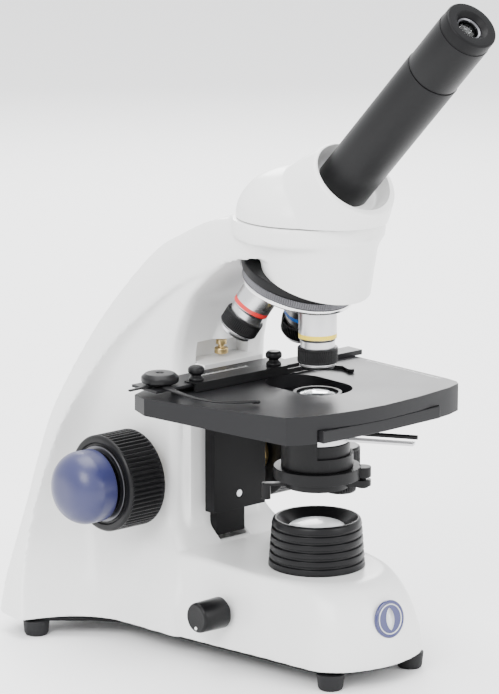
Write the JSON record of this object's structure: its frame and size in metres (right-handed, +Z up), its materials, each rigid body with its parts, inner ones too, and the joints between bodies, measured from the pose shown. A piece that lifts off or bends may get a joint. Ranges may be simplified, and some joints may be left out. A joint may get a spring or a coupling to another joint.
{
  "type": "microscope",
  "caption": "Upright monocular microscope: cast arm stand, turning inclined head, revolving nosepiece, focusing mechanical stage, condenser and built-in lamp.",
  "frame": {"origin": "where the optical axis meets the table", "axes": "+Z up along the optical axis, -Y towards the user, +X to the user's right"},
  "size_m": [0.214, 0.306, 0.393],
  "materials": {
    "cast_paint": "satin",
    "black_paint": "satin",
    "black_plastic": "matte",
    "rubber": "matte",
    "steel": "satin",
    "chrome": "bright",
    "aluminium": "satin",
    "brass": "satin",
    "blue_plastic": "satin",
    "circuit": "satin",
    "glass": "clear"
  },
  "bodies": {
    "frame": {"stand": "cast_paint", "base_plate": "black_paint", "feet": "rubber", "foot_screws": "steel", "front_badge": "blue_plastic", "lamp_housing": "black_paint", "collector_lens": "glass", "led_module": "aluminium", "driver_board": "circuit", "dc_inlet": "black_plastic", "dimmer_pot": "black_plastic", "guide_rails": "steel", "shaft_bushes": "brass", "stop_screw": "brass", "nosepiece_base": "black_paint", "turret_screw": "steel", "head_ring": "steel", "head_screw": "steel"},
    "dimmer": {"dimmer_shaft": "steel", "dimmer_knob": "black_plastic"},
    "coarse": {"pinion_shaft": "steel", "coarse_knobs": "black_plastic"},
    "fine": {"fine_shaft": "steel", "fine_knobs": "blue_plastic"},
    "lift": {"focus_slide": "black_paint", "focus_rack": "steel", "focus_block": "cast_paint"},
    "stage": {"stage_bracket": "black_paint", "bracket_screw": "steel", "stage_base": "black_paint", "condenser_sleeve": "black_paint"},
    "stage_top": {"stage_plate": "black_paint", "holder_guide": "black_paint"},
    "carriage": {"x_carriage": "aluminium", "holder_bar": "black_paint", "holder_thumbscrews": "black_paint", "finger_cap": "black_paint"},
    "finger": {"slide_finger": "steel"},
    "y_control": {"y_knob": "black_plastic"},
    "x_control": {"x_knob": "black_plastic"},
    "condenser": {"condenser_barrel": "black_paint", "condenser_lens": "glass"},
    "lift_lever": {"condenser_lever": "black_paint"},
    "iris": {"iris_lever": "steel"},
    "filter": {"filter_holder": "black_paint"},
    "nosepiece": {"turret": "chrome", "objective_4x": "chrome", "objective_10x": "chrome", "objective_40x": "chrome", "objective_grips": "black_plastic", "objective_lenses": "glass"},
    "head": {"head_casting": "cast_paint", "head_flange": "steel", "prism": "glass", "eyepiece_tube": "black_paint"},
    "eyepiece": {"eyepiece_body": "black_paint", "eyepiece_cap": "black_plastic", "eyepiece_lenses": "glass"}
  },
  "joints": [
    {"name": "coarse_lift", "type": "slide", "parent": "frame", "child": "lift", "axis": [0, 0, 1], "range_m": [-0.01, 0.0015]},
    {"name": "coarse_spin", "type": "hinge", "parent": "frame", "child": "coarse", "pos_m": [0, 0.1065, 0.097], "axis": [1, 0, 0], "range_deg": [-18, 114]},
    {"name": "fine_lift", "type": "slide", "parent": "lift", "child": "stage", "axis": [0, 0, 1], "range_m": [-0.001, 0.001]},
    {"name": "fine_spin", "type": "hinge", "parent": "frame", "child": "fine", "pos_m": [0, 0.1065, 0.097], "axis": [1, 0, 0], "range_deg": [-1810, 1810]},
    {"name": "stage_y", "type": "slide", "parent": "stage", "child": "stage_top", "axis": [0, 1, 0], "range_m": [-0.018, 0.003]},
    {"name": "y_spin", "type": "hinge", "parent": "stage_top", "child": "y_control", "pos_m": [0.053, 0.038, 0.105], "axis": [0, 0, 1], "range_deg": [-260, 45]},
    {"name": "stage_x", "type": "slide", "parent": "stage_top", "child": "carriage", "axis": [1, 0, 0], "range_m": [-0.028, 0.036]},
    {"name": "x_spin", "type": "hinge", "parent": "stage_top", "child": "x_control", "pos_m": [0.053, 0.038, 0.09], "axis": [0, 0, 1], "range_deg": [-405, 520]},
    {"name": "finger_swing", "type": "hinge", "parent": "carriage", "child": "finger", "pos_m": [-0.077, 0.048, 0.168], "axis": [0, 0, 1], "range_deg": [-30, 0], "stiffness_Nm_per_rad": 0.05, "springref_deg": 17.19},
    {"name": "condenser_lift", "type": "slide", "parent": "stage", "child": "condenser", "axis": [0, 0, 1], "range_m": [-0.006, 0]},
    {"name": "condenser_lever_turn", "type": "hinge", "parent": "condenser", "child": "lift_lever", "pos_m": [0, 0, 0.137], "axis": [0, 0, 1], "range_deg": [-61, 1]},
    {"name": "iris_turn", "type": "hinge", "parent": "condenser", "child": "iris", "pos_m": [0, 0, 0.133], "axis": [0, 0, 1], "range_deg": [-35, 35]},
    {"name": "filter_swing", "type": "hinge", "parent": "condenser", "child": "filter", "pos_m": [0.0196, -0.0172, 0.1064], "axis": [0, 0, 1], "range_deg": [0, 80]},
    {"name": "nosepiece_turn", "type": "hinge", "parent": "frame", "child": "nosepiece", "pos_m": [0, 0, 0.2685], "axis": [0, 0.3256, -0.9455], "continuous": true},
    {"name": "head_turn", "type": "hinge", "parent": "frame", "child": "head", "pos_m": [0, 0, 0.2575], "axis": [0, 0, 1], "continuous": true},
    {"name": "eyepiece_pull", "type": "slide", "parent": "head", "child": "eyepiece", "axis": [0, -0.7071, 0.7071], "range_m": [0, 0.034]},
    {"name": "dimmer_turn", "type": "hinge", "parent": "frame", "child": "dimmer", "pos_m": [-0.055, 0.0265, 0.0325], "axis": [1, 0, 0], "range_deg": [-140, 140]}
  ],
  "couplings": [
    {"joint": "coarse_spin", "follows": "coarse_lift", "rad_per_m": -196.08},
    {"joint": "fine_spin", "follows": "fine_lift", "rad_per_m": -31416},
    {"joint": "y_spin", "follows": "stage_y", "rad_per_m": 250},
    {"joint": "x_spin", "follows": "stage_x", "rad_per_m": 250},
    {"joint": "condenser_lever_turn", "follows": "condenser_lift", "rad_per_m": 174.53}
  ]
}
